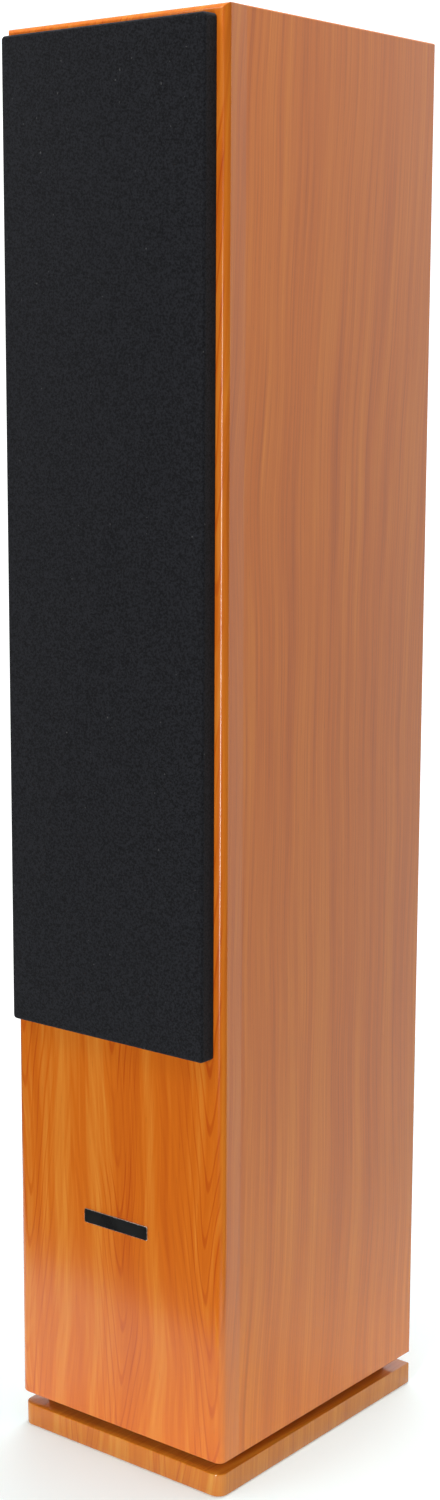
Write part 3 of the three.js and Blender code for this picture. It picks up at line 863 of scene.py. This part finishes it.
def add_motor(name, centre):
    """The corrugated spider, the voice coil and the magnet with its plates."""
    corrugations = 6
    shares = [step / (12 * corrugations) for step in range(12 * corrugations + 1)]
    front = [(14.2 + 29.4 * t, 49.0 + 0.9 * math.sin(2 * math.pi * corrugations * t)) for t in shares]
    back = [(radius, depth + 0.7) for radius, depth in reversed(front)]
    looks_of(f"{name}_spider", turned_piece(front + back, centre))
    coil = [(13, 29.5), (13.8, 29.5), (13.8, 73.5), (13, 73.5)]
    looks_of(f"{name}_voice_coil", turned_piece(coil, centre))
    magnet = [(17, 58.3), (38, 58.3), (38, 63), (47.2, 63), (48, 63.8), (48, 80.2), (47.2, 81), (40, 81),
              (40, 85.2), (39.2, 86), (9, 86), (9, 84), (12, 82), (12, 63), (17, 63)]
    looks_of(f"{name}_magnet", turned_piece(magnet, centre))


def add_tweeter():
    centre = centre_of("tweeter_faceplate")
    plate = [(52, -0.3), (52, -2.6), (51.3, -3.3), (50.4, -FLANGE), (28, -FLANGE), (25, -3.2), (21, -2.0),
             (18, -0.9), (17, -0.3)]
    looks_of("tweeter_faceplate", turned_piece(plate, centre))
    add_flange_screws("tweeter", centre, TWEETER_SCREW_CIRCLE, 4)
    angles = [math.radians(angle) for angle in range(8, 89, 8)]
    dome = [(0, -5.6)] + [(12.6 * math.sin(a), 0.2 - 5.8 * math.cos(a)) for a in angles]
    dome += [(12.8, 0.1), (13.4, -0.8), (14.5, -1.3), (15.6, -0.8), (16.2, 0.1), (16.2, 0.6), (13, 0.8),
             (12.6, 6), (12.1, 6)]
    dome += [(11.8 * math.sin(a), 0.9 - 5.6 * math.cos(a)) for a in reversed(angles)] + [(0, -4.8)]
    looks_of("tweeter_dome", turned_piece(dome, centre))


for driver in DRIVERS:
    add_driver(driver)
add_tweeter()


# ---- Back: port, terminal cup and binding posts ----

CUP_LOW, CUP_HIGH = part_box("terminal_cup")
CUP_FLOOR = CUP_LOW.y + 2.5 * MM
CUP_SCREW_REACH = 40.5 * MM  # from the cup's centre to a screw, along each side


def add_port():
    low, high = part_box("port_tube")
    centre = (low + high) / 2
    face = (high.y - FRONT) / MM
    plate = (BACK - FRONT) / MM + 0.3
    inner_end = (low.y - FRONT) / MM
    flare = [(30 + 10 * (1 - math.cos(math.radians(a))), face - 23 + 23 * math.sin(math.radians(a)))
             for a in range(0, 91, 9)]
    outer = [(44, face), (48.6, face - 0.4), (49.7, face - 1.2), (50, plate), (41, plate), (41, face - 14),
             (32.5, face - 25), (32.5, inner_end), (31.8, inner_end), (30, inner_end + 1.5)]
    looks_of("port_tube", turned_piece(flare + outer, centre))


def square_rings(bm, centre, rows, radius):
    """Bridged rings round a rounded square, one for each pair of half a side and a depth."""
    rings = []
    for half, depth in rows:
        corner = max(radius - (rows[0][0] - half) * 0.4, 1.5 * MM)
        loop = rounded_loop(half, centre.z - half, centre.z + half, corner)
        rings.append([bm.verts.new((centre.x + x, depth, z)) for x, z in loop])
    bridge_rings(bm, rings)
    return rings


def add_terminal_cup():
    """A square cup let into the back, with holes for the binding posts and a screw in each corner."""
    centre = (CUP_LOW + CUP_HIGH) / 2
    half = (CUP_HIGH.x - CUP_LOW.x) / 2
    bm = bmesh.new()
    face, seat = CUP_HIGH.y, BACK + 0.3 * MM
    rows = [(37 * MM, CUP_LOW.y), (37 * MM, seat), (half, seat), (half, face - 0.9 * MM),
            (half - 0.3 * MM, face - 0.3 * MM), (half - 0.9 * MM, face), (35.6 * MM, face),
            (34.8 * MM, face - 0.6 * MM), (34.5 * MM, face - 1.6 * MM), (34.5 * MM, CUP_LOW.y + 3.3 * MM),
            (33.7 * MM, CUP_FLOOR)]
    rings = square_rings(bm, centre, rows, 5 * MM)
    bm.faces.new(rings[0])
    bm.faces.new(rings[-1])
    cup = looks_of("terminal_cup", bm)
    holes = bmesh.new()
    for name in ("red", "black"):
        post = centre_of(f"{name}_binding_post")
        add_cylinder(holes, (post.x, CUP_LOW.y, post.z), 3.6 * MM, 20 * MM, 24)
    cut(cup, holes)
    for number, (sx, sz) in enumerate(((1, 1), (-1, 1), (-1, -1), (1, -1)), 1):
        place = (centre.x + sx * CUP_SCREW_REACH, face - 1.6 * MM, centre.z + sz * CUP_SCREW_REACH)
        add_screw(f"cup_screw_{number}", place, 2.0 * MM, outward=1)


def add_binding_post(colour):
    """A threaded post with its collar, its clamp washer and its knob."""
    centre = centre_of(f"{colour}_binding_post")
    low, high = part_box(f"{colour}_binding_post")
    profile = [(0, low.y), (2.6 * MM, low.y), (3 * MM, low.y + 0.4 * MM), (3 * MM, CUP_FLOOR + 0.3 * MM),
               (7 * MM, CUP_FLOOR + 0.3 * MM), (7 * MM, CUP_FLOOR + 3.6 * MM),
               (6.6 * MM, CUP_FLOOR + 4 * MM), (3 * MM, CUP_FLOOR + 4 * MM)]
    start, end = CUP_FLOOR + 4.5 * MM, high.y - 0.5 * MM
    threads = 14
    pitch = (end - start) / threads
    for turn in range(threads):
        depth = start + pitch * turn
        profile += [(2.98 * MM, depth), (2.6 * MM, depth + pitch / 2)]
    profile += [(2.9 * MM, end), (2.4 * MM, high.y), (0, high.y)]
    bm = bmesh.new()
    add_turned(bm, profile, (centre.x, 0, centre.z), 32)
    looks_of(f"{colour}_binding_post", bm)

    low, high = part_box(f"{colour}_clamp_washer")
    radius, bore, chamfer = (high.x - low.x) / 2, 3.4 * MM, 0.3 * MM
    profile = [(bore, low.y), (radius - chamfer, low.y), (radius, low.y + chamfer),
               (radius, high.y - chamfer), (radius - chamfer, high.y), (bore, high.y)]
    bm = bmesh.new()
    add_turned(bm, profile, (centre.x, 0, centre.z), 40)
    looks_of(f"{colour}_clamp_washer", bm)

    low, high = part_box(f"{colour}_terminal_knob")
    add_knob(f"{colour}_terminal_knob", centre, (high.x - low.x) / 2, low.y, high.y)


def add_knob(node, centre, radius, near_end, far_end):
    """A fluted knob with chamfered ends and a blind bore for its stud."""
    flutes = 14
    bore = 3.3 * MM

    def fluted(angle):
        return radius - 0.65 * MM * (0.5 + 0.5 * math.cos(flutes * angle)) ** 2

    rows = [(bore, far_end - 4 * MM), (bore, near_end), (radius * 0.86, near_end),
            (fluted, near_end + 1.2 * MM), (fluted, far_end - 1.4 * MM),
            (radius * 0.87, far_end - 0.4 * MM), (radius * 0.78, far_end), (radius * 0.40, far_end),
            (radius * 0.36, far_end - 0.4 * MM)]
    bm = bmesh.new()
    add_ring_body(bm, centre, rows, flutes * 8)
    looks_of(node, bm)


add_port()
add_terminal_cup()
for post_colour in ("red", "black"):
    add_binding_post(post_colour)


# ---- Inside ----

def add_damping_pad():
    """A soft pad: a rounded block whose faces puff and dent a little."""
    low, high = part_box("damping_pad")
    bm = bmesh.new()
    add_block(bm, low, high)
    bmesh.ops.bevel(bm, geom=bm.edges[:], offset=8 * MM, segments=3, profile=0.6, affect="EDGES")
    bmesh.ops.triangulate(bm, faces=bm.faces)
    bmesh.ops.subdivide_edges(bm, edges=bm.edges[:], cuts=3, use_grid_fill=True)
    centre = (low + high) / 2
    for vertex in bm.verts:
        away = (vertex.co - centre).normalized()
        vertex.co -= away * 2.5 * MM * (0.5 + 0.5 * noise.noise(vertex.co * 30))
    pad = looks_of("damping_pad", bm, angle=80)


def add_crossover():
    """The board on its four feet, and the capacitor lying on it."""
    low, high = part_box("crossover_board")
    surface = low.z + 8.3 * MM
    underside = surface - 1.7 * MM
    bm = bmesh.new()
    add_block(bm, (low.x, low.y, surface - 1.6 * MM), (high.x, high.y, surface))
    for x in (low.x + 5 * MM, high.x - 5 * MM):
        for y in (low.y + 5 * MM, high.y - 5 * MM):
            add_cylinder(bm, (x, y, (low.z + underside) / 2), 3 * MM, underside - low.z, 24, "Z")
    looks_of("crossover_board", bm)
    bm = bmesh.new()
    radius = (high.z - surface) / 2
    add_cylinder(bm, (0, 0, 0), radius, 42 * MM, 40, "Z")
    bevel_edges(bm, lambda a, b: near(a.z, b.z), 1.5 * MM, 3)
    place = Matrix.Translation((low.x + 85 * MM, low.y + 40 * MM, surface + radius))
    bm.transform(place @ Matrix.Rotation(math.pi / 2, 4, "Y"))
    extra_piece("crossover_capacitor", bm, film_yellow)


add_damping_pad()
add_crossover()
